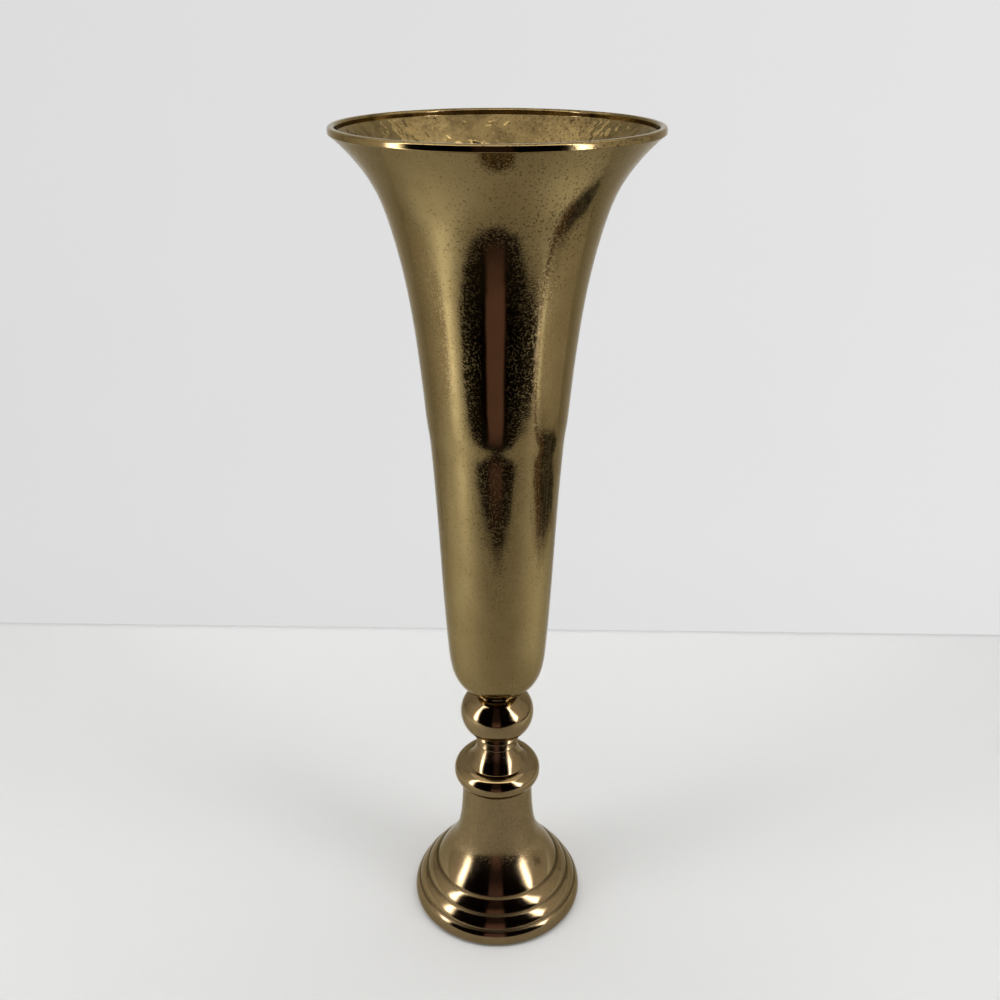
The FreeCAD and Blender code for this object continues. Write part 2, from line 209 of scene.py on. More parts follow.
def ball_outline(height):
    radius, end_radius = 28.2, 17.5
    foot_height, foot, waist, lip, collar_height, collar_radius = 5.6, 17.8, 16.0, 0.6, 4.0, 16.0
    foot_shares = ((0.60, 0.30), (0.26, 0.65))
    ball_shares = ((0.80, 0.0), (1.0142, 0.267), (1.0142, 0.678), (0.787, 0.912))
    top = height - collar_height
    flare = placed((waist, lip), (foot - waist, foot_height - lip), foot_shares)
    ball = placed((0, foot_height), (radius, top - foot_height), ball_shares)
    outline = Outline((BORE_RADIUS, 0))
    outline.line((foot, 0), (foot, lip))
    outline.curve(*flare, (waist, foot_height))
    outline.curve(*ball, (end_radius, top))
    outline.line((collar_radius, top), (collar_radius, height))
    outline.line((BORE_RADIUS, height), (BORE_RADIUS, 0))
    return outline


def bowl_outline(height):
    seat, round_height, tube, mouth = 17.0, 34.5, 36.7, 102.0
    wall, floor = 3.0, 9.0
    boss_radius, boss_draft, boss_height = 9.0, 2.5, 12.0
    lip_width, lip_height, lip_round, lip_foot_round = 4.8, 4.6, 1.6, 0.9
    hole_depth, drill_tip = 14.0, 2.4
    bottom_shares = ((0.305, 0.03), (0.848, 0.333), (1.0, 1.0))
    bottom_wall_shares = ((0.20, 0.90), (0.70, 0.70), (1.0, 0.03))
    flare_shares = (
        (0.037, 0.119),
        (0.089, 0.309),
        (0.179, 0.525),
        (0.282, 0.715),
        (0.461, 0.864),
        (0.651, 0.945),
    )
    flare_wall_shares = ((1.0, 0.05), (1.0, 0.06), (1.0, 0.09), (0.99, 0.16), (0.95, 0.33), (0.84, 0.54))
    inner_lip_rise_share = 0.17
    lip_foot = height - lip_height
    bottom = placed((seat, 0), (tube - seat, round_height), bottom_shares)
    flare = placed((tube, round_height), (mouth - tube, lip_foot - round_height), flare_shares)
    inner = thickened(bottom, wall, bottom_wall_shares) + thickened(flare, wall, flare_wall_shares)
    inner[0] = (inner[0][0], floor)
    inside = mouth - lip_width
    boss_top = floor + boss_height
    outline = Outline((0, hole_depth + drill_tip))
    outline.line((THREAD_RADIUS, hole_depth), (THREAD_RADIUS, 0), (seat, 0))
    outline.curve(*bottom, *flare, (mouth - lip_foot_round, lip_foot))
    outline.arc((mouth, lip_foot + lip_foot_round), lip_foot_round)
    outline.line((mouth, height - lip_round))
    outline.arc((mouth - lip_round, height), lip_round)
    outline.line((inside + lip_round, height))
    outline.arc((inside, height - lip_round), lip_round)
    outline.line((inside, lip_foot + wall * inner_lip_rise_share))
    outline.curve(*reversed(inner), (boss_radius + boss_draft, floor))
    outline.line((boss_radius, boss_top), (0, boss_top))
    return outline


# Meshes

# The bowl's draw line and the top of its uneven inside, in millimetres above the table.
DRAW_LINE = 413.5
DRAW_LINE_REACH = 7.0
DRAW_LINE_DEPTH = 0.95
DRAW_LINE_RUNOUT = 300.0
INSIDE_TOP = 604.0
INSIDE_FADE = 6.0

# How far the nearest row of points lies from an outline's corner, in millimetres.
CORNER_ROW = 0.22

# Casting swells, each with its depth, its wavelength and its seed. Every casting adds its own number
# to the seeds of the skin's swells.
SKIN_SWELLS = ((0.06 * MM, 0.045, 11), (0.02 * MM, 0.012, 31))
INSIDE_SWELLS = ((0.45 * MM, 0.026, 51), (0.18 * MM, 0.010, 52))


def ripple(points, wavelength, seed, waves=28):
    """A smooth random field from -1 to 1 with about one swell in each wavelength."""
    rng = np.random.default_rng(seed)
    directions = rng.normal(size=(waves, 3))
    directions /= np.linalg.norm(directions, axis=1)[:, None]
    spread = rng.uniform(0.7, 1.5, waves)
    phases = rng.uniform(0, TAU, waves)
    field = np.zeros(len(points))
    for direction, share, phase in zip(directions, spread, phases):
        field += np.cos(points @ direction * (TAU / wavelength * share) + phase)
    return np.clip(field / math.sqrt(waves), -1, 1)


def swell(points, depth, wavelength, seed):
    """How far a shallow casting swell sinks each point, from 0 to its depth."""
    return depth * (0.5 + 0.5 * ripple(points, wavelength, seed))


def outwardness(points, normals):
    """Above 0 on a casting's outer skin, and below 0 on skin that faces its axis."""
    return (normals[:, :2] * points[:, :2]).sum(1)


def draw_line(points, normals):
    """How far the bowl's wall sinks just below the shallow draw line that runs round it."""
    height = points[:, 2] / MM
    below = 0.5 - 0.5 * np.tanh((height - DRAW_LINE) / DRAW_LINE_REACH)
    runout = np.clip((height - DRAW_LINE_RUNOUT) / (DRAW_LINE - DRAW_LINE_RUNOUT), 0, 1)
    return DRAW_LINE_DEPTH * MM * below * runout * (outwardness(points, normals) > 0)


def uneven_inside(points, normals):
    """How far the rough inner wall sinks unevenly, fading out just under the lip."""
    fade = np.clip((INSIDE_TOP - points[:, 2] / MM) / INSIDE_FADE, 0, 1)
    sink = sum(swell(points, *values) for values in INSIDE_SWELLS)
    return sink * fade * (outwardness(points, normals) < 0)


def mesh_object(name, points, faces):
    mesh = bpy.data.meshes.new(name)
    mesh.from_pydata(points, [], faces)
    mesh.polygons.foreach_set("use_smooth", [True] * len(mesh.polygons))
    obj = bpy.data.objects.new(name, mesh)
    bpy.context.scene.collection.objects.link(obj)
    return obj


def ring_faces(rings, segments, closed=False):
    """Quads between neighbouring rings of points, and from the last to the first if closed."""
    i, j = np.meshgrid(np.arange(rings if closed else rings - 1), np.arange(segments), indexing="ij")
    up = (i + 1) % rings
    over = (j + 1) % segments
    faces = np.stack([i * segments + j, i * segments + over, up * segments + over, up * segments + j], -1)
    return faces.reshape(-1, 4).tolist()


def spin(pairs, segments):
    """Pairs of (radius, height) turned about the upright axis, one ring of points for each."""
    angle = TAU * np.arange(segments) / segments
    points = np.empty((len(pairs), segments, 3))
    points[..., 0] = pairs[:, :1] * np.cos(angle)
    points[..., 1] = pairs[:, :1] * np.sin(angle)
    points[..., 2] = pairs[:, 1:]
    return points.reshape(-1, 3)


def outward(rows, closed):
    """For each row of an outline, the unit direction that points out of the metal."""
    tangent = np.roll(rows, -1, axis=0) - np.roll(rows, 1, axis=0)
    if not closed:
        tangent[0] = rows[1] - rows[0]
        tangent[-1] = rows[-1] - rows[-2]
    across = np.stack([tangent[:, 1], -tangent[:, 0]], 1)
    return across / np.linalg.norm(across, axis=1)[:, None]


def weld_poles(obj):
    """Join the points of the rings that lie on the axis."""
    mesh = bmesh.new()
    mesh.from_mesh(obj.data)
    bmesh.ops.remove_doubles(mesh, verts=mesh.verts, dist=1e-6)
    mesh.to_mesh(obj.data)
    mesh.free()


def turned(name, outline, base, segments, step, swells, dips):
    """A casting turned from its outline, with swells and dips that only ever sink its surface."""
    rows = outline.rows(step, CORNER_ROW)
    rows[:, 1] += base * MM
    closed = np.allclose(rows[0], rows[-1])
    if closed:
        rows = rows[:-1]
    points = spin(rows, segments)
    normals = spin(outward(rows, closed), segments)
    sink = sum(swell(points, *values) for values in swells)
    sink = sink + sum(dip(points, normals) for dip in dips)
    points -= normals * sink[:, None]
    obj = mesh_object(name, points.tolist(), ring_faces(len(rows), segments, closed))
    if not closed:
        weld_poles(obj)
    return obj


def threaded_rod(name, radius, pitch, depth, low, high, bevel):
    """A rod with a helical thread and bevelled ends, its sizes in millimetres."""
    segments = 40
    rows_per_pitch = 8
    flank, crest = 2.6, 0.15
    rows = np.linspace(low, high, int((high - low) / pitch * rows_per_pitch) + 1)
    angle = TAU * np.arange(segments) / segments
    phase = (rows[:, None] / pitch - angle[None] / TAU) % 1.0
    groove = np.clip(np.abs(phase - 0.5) * flank - crest, 0, 1)
    ends = np.minimum(rows - low, high - rows)[:, None]
    reach = np.minimum(radius - depth * groove, radius - bevel + ends)
    points = np.empty((len(rows), segments, 3))
    points[..., 0] = reach * np.cos(angle)
    points[..., 1] = reach * np.sin(angle)
    points[..., 2] = rows[:, None]
    last = (len(rows) - 1) * segments
    caps = [list(range(segments - 1, -1, -1)), list(range(last, last + segments))]
    faces = ring_faces(len(rows), segments) + caps
    obj = mesh_object(name, (points.reshape(-1, 3) * MM).tolist(), faces)
    for polygon in list(obj.data.polygons)[-len(caps):]:
        polygon.use_smooth = False
    return obj


# Materials

class Nodes:
    """Short names for wiring one material."""

    def __init__(self, name):
        self.material = bpy.data.materials.new(name)
        self.material.use_nodes = True
        self.tree = self.material.node_tree
        self.shader = self.tree.nodes["Principled BSDF"]
        self.place = self.tree.nodes.new("ShaderNodeTexCoord").outputs["Object"]

    def fill(self, node, inputs):
        """Link each named input of the node to a socket, or set it to a number or colour."""
        for key, value in inputs.items():
            if isinstance(value, bpy.types.NodeSocket):
                self.tree.links.new(value, node.inputs[key])
            else:
                node.inputs[key].default_value = value
        return node

    def new(self, kind, inputs=None, **settings):
        node = self.tree.nodes.new(kind)
        for key, value in settings.items():
            setattr(node, key, value)
        return self.fill(node, inputs or {})

    def shade(self, inputs):
        self.fill(self.shader, inputs)

    def show(self, surface):
        self.fill(self.tree.nodes["Material Output"], {"Surface": surface})

    def bump(self, height, strength, distance):
        inputs = {"Height": height, "Strength": strength, "Distance": distance}
        return self.new("ShaderNodeBump", inputs).outputs["Normal"]

    def axis(self, letter):
        return self.new("ShaderNodeSeparateXYZ", {"Vector": self.place}).outputs[letter]

    def noise(self, size, detail=2.0, roughness=0.5):
        """Noise whose swells are about this many metres across."""
        inputs = {"Vector": self.place, "Scale": 1 / size, "Detail": detail, "Roughness": roughness}
        return self.new("ShaderNodeTexNoise", inputs).outputs["Fac"]

    def ramp(self, value, low, high, start=0.0, end=1.0):
        """The value carried from the range low..high to start..end, and held beyond it."""
        inputs = {"Value": value, "From Min": low, "From Max": high, "To Min": start, "To Max": end}
        return self.new("ShaderNodeMapRange", inputs).outputs["Result"]

    def math(self, operation, first, second):
        return self.new("ShaderNodeMath", {0: first, 1: second}, operation=operation).outputs["Value"]

    def vector_math(self, operation, first, second, output):
        return self.new("ShaderNodeVectorMath", {0: first, 1: second}, operation=operation).outputs[output]

    def plus(self, first, *others):
        for other in others:
            first = self.math("ADD", first, other)
        return first

    def times(self, first, *others):
        for other in others:
            first = self.math("MULTIPLY", first, other)
        return first

    def rest(self, share):
        """What is left of 1."""
        return self.math("SUBTRACT", 1.0, share)

    def within(self, value, low, high, soft):
        """1 where the value lies between low and high, with soft borders."""
        rise = self.ramp(value, low - soft, low + soft)
        fall = self.ramp(value, high - soft, high + soft, 1.0, 0.0)
        return self.times(rise, fall)

    def steps(self, value, middle, spread):
        """How many spreads the value lies from the middle."""
        return self.math("DIVIDE", self.math("SUBTRACT", value, middle), spread)

    def bell(self, *distances):
        """1 where every distance is 0, falling off like a bell."""
        square = self.plus(*(self.times(distance, distance) for distance in distances))
        return self.math("POWER", math.e, self.times(square, -1.0))

    def mix(self, share, first, second):
        """The first colour, and the second where the share is 1."""
        node = self.tree.nodes.new("ShaderNodeMix")
        node.data_type = "RGBA"
        for key, value in {"Factor": share, "A": first, "B": second}.items():
            socket = [s for s in node.inputs if s.name == key and s.enabled][0]
            if isinstance(value, bpy.types.NodeSocket):
                self.tree.links.new(value, socket)
            else:
                socket.default_value = value
        return [s for s in node.outputs if s.enabled][0]


def colour(*rgb):
    return (*rgb, 1.0)


BRASS = colour(0.152, 0.105, 0.042)
BRASS_PALE = colour(0.172, 0.121, 0.051)
BRASS_BROWN = colour(0.151, 0.103, 0.048)
BRASS_BROWN_PALE = colour(0.171, 0.119, 0.058)
BRASS_DEEP = colour(0.042, 0.027, 0.011)
EDGE_TINT = colour(0.78, 0.72, 0.60)

# Where the castings' skin changes: pairs of borders, and the place of the foot's smudge.
LIP_BAND_HEIGHTS = (0.6045, 0.6056)
FOOT_SATIN_HEIGHTS = (0.057, 0.039)
KNOP_WAIST_HEIGHTS = (0.141, 0.164)
STRIPE_HEIGHTS = (0.415, 0.545)
STRIPE_SIDES = (-0.0095, 0.0055)
SMUDGE = (0.0322, -0.0242, 0.0475)

# How high pits and lumps stand beside the grain, and how dull and dark the marks on a casting are.
PIT_DEPTH = 0.5
LUMP_HEIGHT = 100.0
SPECK_DULLING = 0.2
SHADE_AND_DIRT_ROUGHNESS = 0.4
INSIDE_ROUGHNESS = 0.12
MARK_DARKNESS = 0.8


def smooth_stripe(nodes):
    """1 on the worn smooth stripe down the bowl's front."""
    stripe = nodes.within(nodes.axis("X"), *STRIPE_SIDES, 0.0012)
    front = nodes.ramp(nodes.axis("Y"), 0.0, -0.01)
    return nodes.times(stripe, front, nodes.within(nodes.axis("Z"), *STRIPE_HEIGHTS, 0.008))


def crease_shade_and_smudge(nodes):
    """1 along the three creases between the foot's bands, which is painted shade, and on one real smudge on
    the flare.
    """
    below, above, soft = 0.0012, 0.0007, 0.0004
    height = nodes.axis("Z")
    base = span("bell_foot")[0]
    heights = [(base + BANDS_HEIGHT * up) * MM for _, up in CREASE_SHARES]
    # The creases are painted shade: the tone is darkened where shade falls between the bands.
    creases = nodes.plus(*(nodes.within(height, z - below, z + above, soft) for z in heights))
    away = nodes.vector_math("DISTANCE", nodes.place, SMUDGE, "Value")
    blot = nodes.ramp(nodes.noise(0.003, 3.0), 0.38, 0.5)
    return nodes.math("MAXIMUM", creases, nodes.times(nodes.ramp(away, 0.007, 0.002), blot))


def pit_field(nodes):
    """1 in fine pits, which are densest high up and towards the right."""
    dense = nodes.times(nodes.ramp(nodes.axis("X"), -0.05, 0.05), nodes.ramp(nodes.axis("Z"), 0.50, 0.56))
    pitted = nodes.plus(nodes.noise(0.0015, 1.0), nodes.times(dense, 0.05))
    return nodes.times(nodes.ramp(pitted, 0.645, 0.675), nodes.ramp(dense, 0.0, 1.0, 0.5, 1.0))


def speck_field(nodes, polish, patch):
    """1 in dull specks, which are rarer where the skin is burnished."""
    specks = nodes.ramp(nodes.noise(0.0014, 1.0), 0.53, 0.60)
    bare = nodes.rest(polish)
    return nodes.times(specks, nodes.ramp(patch, 0.3, 0.7, 0.5, 1.0), bare, bare)


def inner_side(nodes):
    """1 on skin that faces the casting's own axis, and 0 on its outer side."""
    flat = nodes.vector_math("MULTIPLY", nodes.place, (1, 1, 0), "Vector")
    normal = nodes.new("ShaderNodeNewGeometry").outputs["Normal"]
    return nodes.ramp(nodes.vector_math("DOT_PRODUCT", flat, normal, "Value"), 0.0, -0.001)


def mould_stain(nodes):
    """How strongly brown stains cover the skin left rough from the mould."""
    return nodes.ramp(nodes.noise(0.014, 5.0, 0.7), 0.45, 0.65, 0.0, 0.6)


def mould_lumps(nodes):
    """The heights of the broad and the small lumps on the skin left rough from the mould."""
    return nodes.plus(nodes.noise(0.011, 1.5), nodes.times(nodes.noise(0.0045, 1.0), 0.3))


def cast_metal(name, satin, gloss, polish, grain_depth, tones, hollow=False, calm=None, shade_and_grime=None):
    """Antique brass tone on a casting: satin where polish gives 0, and burnished where it gives 1.

    calm gives where the skin is worn smooth. The shade and grime mask gives where painted shade in creases,
    and real dirt, darken and dull the skin. A hollow casting is left rough from the mould, lumpy and stained
    on its inner side.
    """
    nodes = Nodes(name)
    burnished = polish(nodes)
    cloud = nodes.noise(0.022, 4.0, 0.6)
    patch = nodes.noise(0.045, 2.0, 0.5)
    specks = speck_field(nodes, burnished, patch)
    pits = pit_field(nodes)
    grain = nodes.times(nodes.ramp(patch, 0.3, 0.7, 0.6, 1.0), nodes.ramp(burnished, 0.0, 1.0, 1.0, 0.12))
    if calm:
        smooth = calm(nodes)
        specks = nodes.times(specks, nodes.rest(smooth))
        pits = nodes.times(pits, nodes.rest(smooth))
        grain = nodes.times(grain, nodes.ramp(smooth, 0.0, 1.0, 1.0, 0.25))
    tone = nodes.mix(nodes.ramp(cloud, 0.35, 0.68), *tones)
    tone = nodes.mix(nodes.times(pits, MARK_DARKNESS), tone, BRASS_DEEP)
    rough = nodes.ramp(cloud, 0.3, 0.7, satin * 0.9, satin * 1.12)
    rough = nodes.ramp(burnished, 0.0, 1.0, rough, gloss)
    rough = nodes.ramp(specks, 0.0, 1.0, rough, nodes.plus(rough, SPECK_DULLING))
    height = nodes.math("SUBTRACT", nodes.noise(0.0011, 1.0), nodes.times(pits, PIT_DEPTH))
    if shade_and_grime:
        # Painted shade in the foot's creases, and one real smudge, darken the tone and dull the skin here.
        shade_and_dirt = shade_and_grime(nodes)
        tone = nodes.mix(nodes.times(shade_and_dirt, MARK_DARKNESS), tone, BRASS_DEEP)
        rough = nodes.ramp(shade_and_dirt, 0.0, 1.0, rough, SHADE_AND_DIRT_ROUGHNESS)
    if hollow:
        inside = inner_side(nodes)
        rough = nodes.ramp(inside, 0.0, 1.0, rough, INSIDE_ROUGHNESS)
        tone = nodes.mix(nodes.times(mould_stain(nodes), inside), tone, BRASS_DEEP)
        raised = nodes.ramp(inside, 0.0, 1.0, 0.0, LUMP_HEIGHT)
        height = nodes.plus(height, nodes.times(mould_lumps(nodes), raised))
    nodes.shade({
        "Metallic": 1.0,
        "Specular Tint": EDGE_TINT,
        "Base Color": tone,
        "Roughness": rough,
        "Normal": nodes.bump(height, grain, grain_depth),
    })
    return nodes.material


def bowl_polish(nodes):
    """Burnished at the lip's band."""
    return nodes.ramp(nodes.axis("Z"), *LIP_BAND_HEIGHTS)


def foot_polish(nodes):
    """Satin on the neck, burnished on the bands and on the lower flare."""
    return nodes.ramp(nodes.axis("Z"), *FOOT_SATIN_HEIGHTS)


def knop_polish(nodes):
    """Burnished on the bead and the ball, and duller on the waist between them."""
    worn = nodes.ramp(nodes.noise(0.03), 0.2, 0.5, 0.9, 1.0)
    waist = nodes.within(nodes.axis("Z"), *KNOP_WAIST_HEIGHTS, 0.003)
    return nodes.times(worn, nodes.ramp(waist, 0.0, 1.0, 1.0, 0.35))


def zinc(name):
    nodes = Nodes(name)
    spangle = nodes.noise(0.004, 3.0)
    grey, warm_grey = colour(0.46, 0.47, 0.47), colour(0.58, 0.57, 0.53)
    nodes.shade({
        "Metallic": 1.0,
        "Base Color": nodes.mix(nodes.ramp(spangle, 0.35, 0.65), grey, warm_grey),
        "Roughness": nodes.ramp(spangle, 0.3, 0.7, 0.24, 0.38),
        "Normal": nodes.bump(nodes.noise(0.0006, 3.0), 0.5, 0.00002),
    })
    return nodes.material


def felt(name):
    nodes = Nodes(name)
    fibre = nodes.noise(0.0007, 6.0, 0.75)
    dark, light = colour(0.035, 0.022, 0.016), colour(0.075, 0.05, 0.036)
    nodes.shade({
        "Base Color": nodes.mix(nodes.ramp(fibre, 0.35, 0.65), dark, light),
        "Roughness": 0.95,
        "Sheen Weight": 0.3,
        "Sheen Roughness": 0.6,
        "Normal": nodes.bump(fibre, 0.8, 0.0003),
    })
    return nodes.material


def dress(obj, material):
    obj.data.materials.clear()
    obj.data.materials.append(material)


# The vase

def make_castings():
    gold = (BRASS, BRASS_PALE)
    brown = (BRASS_BROWN, BRASS_BROWN_PALE)
    bowl_metal = cast_metal(
        "bowl_metal",
        satin=0.08,
        gloss=0.08,
        polish=bowl_polish,
        grain_depth=0.000026,
        tones=gold,
        hollow=True,
        calm=smooth_stripe,
    )
    foot_metal = cast_metal(
        "foot_metal",
        satin=0.2,
        gloss=0.095,
        polish=foot_polish,
        grain_depth=0.00003,
        tones=brown,
        hollow=True,
        shade_and_grime=crease_shade_and_smudge,
    )
    knop_metal = cast_metal(
        "knop_metal",
        satin=0.2,
        gloss=0.085,
        polish=knop_polish,
        grain_depth=0.00003,
        tones=brown,
    )
    castings = (
        ("trumpet_bowl", bowl_outline, 256, 1.3, bowl_metal, "bowl_metal"),
        ("ball_knop", ball_outline, 192, 0.8, knop_metal, "knop_metal"),
        ("ring_knop", ring_outline, 192, 0.8, knop_metal, "knop_metal"),
        ("bell_foot", foot_outline, 256, 0.9, foot_metal, "foot_metal"),
    )
    for number, (node, draw, segments, step, material, slot) in enumerate(castings):
        base, height = span(node)
        swells = [(depth, wavelength, seed + number) for depth, wavelength, seed in SKIN_SWELLS]
        dips = (draw_line, uneven_inside) if node == "trumpet_bowl" else ()
        piece = turned(f"{node}_casting", draw(height), base, segments, step, swells, dips)
        dress(piece, material)
        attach(piece, "root")
        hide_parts(node)


def make_stud(steel):
    """The stud with its M8 thread, its sizes in millimetres."""
    base, height = span("tie_stud")
    radius, pitch, depth, bevel = 4.0, 1.25, 0.62, 0.8
    stud = threaded_rod("tie_stud_thread", radius, pitch, depth, base, base + height, bevel)
    dress(stud, steel)
    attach(stud, "root")
    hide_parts("tie_stud")


def dress_hardware():
    steel = zinc("zinc_steel")
    for node in ("flat_washer", "lock_washer", "hex_nut"):
        dress(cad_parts[node], steel)
    make_stud(steel)
    dress(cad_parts["foot_pads"], felt("felt"))


# The studio

# Two points on the foot of the wall, the floor's front edge and the room's, and the box of cards.
WALL_LINE = ((-0.596, 0.411), (0.591, 0.384))
FLOOR_EDGE = -0.553
ROOM_FRONT = -0.73
BOX_TOP = 1.28
BOX_LEFT = -0.88
BOX_RIGHT = 0.85
BOX_FRONT = -0.52
BOX_BACK = 0.42
STRIP_FOOT = 0.03
STRIP_STRENGTH = 20.0

FLOOR_FRONT = colour(0.722, 0.722, 0.713)
FLOOR_MIDDLE = colour(0.748, 0.748, 0.738)
FLOOR_BACK = colour(0.83, 0.83, 0.825)
FLOOR_RUST = colour(0.12, 0.05, 0.022)
FLOOR_DARK = colour(0.012, 0.01, 0.009)
WALL_TONE = colour(0.765, 0.765, 0.76)
WALL_LEFT = colour(0.713, 0.713, 0.713)
WALL_RIGHT = colour(0.785, 0.785, 0.785)
GLOW_TONE = colour(0.90, 1.0, 1.04)
STRIP_TONE = colour(0.95, 1.0, 1.2)
POST_TONE = colour(1.0, 0.61, 0.68)
WARM = colour(1.0, 0.985, 0.95)

# Round glows on the floor, each with its strength, its middle, and how far it spreads in x and y.
GLOWS = (
    (2.0, (-0.88, -0.36), (0.40, 0.16)),
    (0.88, (-0.56, -0.08), (0.42, 0.30)),
    (1.7, (0.79, -0.395), (0.12, 0.045)),
    (0.5, (0.84, -0.42), (0.09, 0.14)),
    (0.95, (0.47, 0.0), (0.20, 0.28)),
)


def plane(name, corners, material):
    obj = mesh_object(name, corners, [(0, 1, 2, 3)])
    dress(obj, material)
    return obj


def only_reflected(obj):
    obj.visible_camera = False
    obj.visible_diffuse = False
    obj.visible_shadow = False
    obj.visible_volume_scatter = False
    return obj


def clear_from_behind(nodes, face):
    """The face seen from the front, and nothing from behind."""
    back = nodes.new("ShaderNodeNewGeometry").outputs["Backfacing"]
    clear = nodes.new("ShaderNodeBsdfTransparent").outputs[0]
    return nodes.new("ShaderNodeMixShader", {0: back, 1: face, 2: clear}).outputs[0]


def floor_tone(nodes, x, y):
    """Grey in front, and paler towards the wall and the right."""
    tone = nodes.mix(nodes.ramp(y, -0.10, 0.12), FLOOR_FRONT, FLOOR_MIDDLE)
    tone = nodes.mix(nodes.ramp(y, 0.12, 0.42), tone, FLOOR_BACK)
    mottle = nodes.ramp(nodes.noise(0.12, 4.0), 0.3, 0.7, 0.0, 0.25)
    veil = nodes.plus(nodes.ramp(x, -0.5, 0.5, 0.0, 0.75), mottle)
    return nodes.mix(nodes.times(veil, 0.16), tone, FLOOR_BACK)


def dark_floor(nodes, x, y):
    """1 beyond the floor's uneven front edge, and on a slanted dark patch at the right."""
    bay = nodes.times(nodes.within(x, 0.29, 0.52, 0.04), 0.04)
    tongue = nodes.times(nodes.within(x, -0.08, 0.12, 0.03), -0.02)
    shifted = nodes.plus(y, bay, tongue, nodes.ramp(x, 0.55, 0.70, 0.0, -0.07))
    beyond = nodes.ramp(shifted, FLOOR_EDGE + 0.012, FLOOR_EDGE - 0.012)
    slant = nodes.plus(x, nodes.times(y, 0.91))
    patch = nodes.times(nodes.within(slant, 0.62, 1.02, 0.03), nodes.within(x, 0.55, 0.80, 0.02))
    cloudy = nodes.ramp(nodes.noise(0.06, 3.0), 0.35, 0.55, 0.8, 1.0)
    return nodes.math("MAXIMUM", beyond, nodes.times(patch, cloudy, 0.98))


def rust_line(nodes, x, y):
    """1 on a rust-coloured line at the right, which is wider towards the back."""
    line = nodes.plus(x, nodes.times(y, 0.37))
    left_side = nodes.ramp(line, 0.53, 0.565)
    wider = nodes.ramp(y, -0.30, -0.18, 0.0, 0.09)
    right_side = nodes.ramp(nodes.math("SUBTRACT", line, wider), 0.605, 0.635, 1.0, 0.0)
    worn = nodes.ramp(nodes.noise(0.03, 3.0), 0.3, 0.5, 0.6, 1.0)
    return nodes.times(left_side, right_side, nodes.within(y, -0.53, 0.03, 0.03), worn)


def floor_glow(nodes, x, y, covered):
    """How strongly the floor glows: its round glows where it is bare, and a trace of the post's light."""
    glows = []
    for strength, middle, spread in GLOWS:
        bell = nodes.bell(nodes.steps(x, middle[0], spread[0]), nodes.steps(y, middle[1], spread[1]))
        glows.append(nodes.times(bell, strength))
    trace = nodes.times(nodes.within(x, -0.16, 0.10, 0.03), nodes.ramp(y, -0.59, -0.71, 0.0, 0.25))
    return nodes.plus(nodes.times(nodes.plus(*glows), nodes.rest(covered)), trace)


def floor_board():
    """Matt pale board. Only for the metal, it glows beside the lamps and darkens at its front."""
    nodes = Nodes("floor_board")
    x, y = nodes.axis("X"), nodes.axis("Y")
    reflected = nodes.new("ShaderNodeLightPath").outputs["Is Glossy Ray"]
    dark = dark_floor(nodes, x, y)
    rust = rust_line(nodes, x, y)
    tone = nodes.mix(nodes.times(rust, reflected), floor_tone(nodes, x, y), FLOOR_RUST)
    glow_strength = floor_glow(nodes, x, y, nodes.math("MAXIMUM", dark, rust))
    nodes.shade({
        "Roughness": 0.7,
        "Specular IOR Level": 0.2,
        "Base Color": nodes.mix(nodes.times(dark, reflected), tone, FLOOR_DARK),
        "Emission Strength": nodes.times(glow_strength, reflected),
        "Emission Color": nodes.mix(nodes.ramp(y, -0.55, -0.58), GLOW_TONE, POST_TONE),
    })
    nodes.show(clear_from_behind(nodes, nodes.shader.outputs[0]))
    return nodes.material


def wall_board():
    """Pale board lit evenly to the eye, paler towards the right and with painted shade along its foot; matt
    to other light, and clear from behind.
    """
    nodes = Nodes("wall_board")
    nodes.shade({"Roughness": 0.75, "Specular IOR Level": 0.2, "Base Color": WALL_TONE})
    mottle = nodes.ramp(nodes.noise(0.2, 4.0, 0.6), 0.3, 0.7, 0.0, 0.1)
    share = nodes.plus(nodes.ramp(nodes.axis("X"), -0.55, 0.55, 0.0, 0.9), mottle)
    # To the eye the board is a little darker along its foot by the floor: painted shade.
    even = nodes.new("ShaderNodeEmission", {
        "Color": nodes.mix(share, WALL_LEFT, WALL_RIGHT),
        "Strength": nodes.ramp(nodes.axis("Z"), 0.0, 0.12, 0.985, 1.0),
    })
    seen = nodes.new("ShaderNodeLightPath").outputs["Is Camera Ray"]
    face = nodes.new("ShaderNodeMixShader", {0: seen, 1: nodes.shader.outputs[0], 2: even.outputs[0]})
    nodes.show(clear_from_behind(nodes, face.outputs[0]))
    return nodes.material


def make_floor_and_wall():
    reach = 3.0
    gap = 0.002
    corners = [(-reach, -reach, 0), (reach, -reach, 0), (reach, reach, 0), (-reach, reach, 0)]
    plane("floor", corners, floor_board())
    (x0, y0), (x1, y1) = WALL_LINE
    slope = (y1 - y0) / (x1 - x0)
    left = (-reach, y0 + slope * (-reach - x0))
    right = (reach, y0 + slope * (reach - x0))
    corners = [(*left, gap), (*right, gap), (*right, reach), (*left, reach)]
    wall = plane("wall", corners, wall_board())
    wall.visible_shadow = False


def glow(name, tone, strength, fade=None, clear=False):
    """A card's light: one tone and strength, which fade may multiply by place. A clear card hides nothing."""
    nodes = Nodes(name)
    nodes.tree.nodes.remove(nodes.shader)
    power = nodes.times(fade(nodes), strength) if fade else strength
    light = nodes.new("ShaderNodeEmission", {"Color": tone, "Strength": power}).outputs[0]
    if clear:
        through = nodes.new("ShaderNodeBsdfTransparent").outputs[0]
        light = nodes.new("ShaderNodeAddShader", {0: light, 1: through}).outputs[0]
    nodes.show(light)
    return nodes.material


def left_fade(nodes):
    return nodes.ramp(nodes.axis("Y"), -0.15, 0.30, 1.35, 0.78)


def right_fade(nodes):
    return nodes.ramp(nodes.axis("Y"), -0.38, 0.20, 1.35, 0.92)


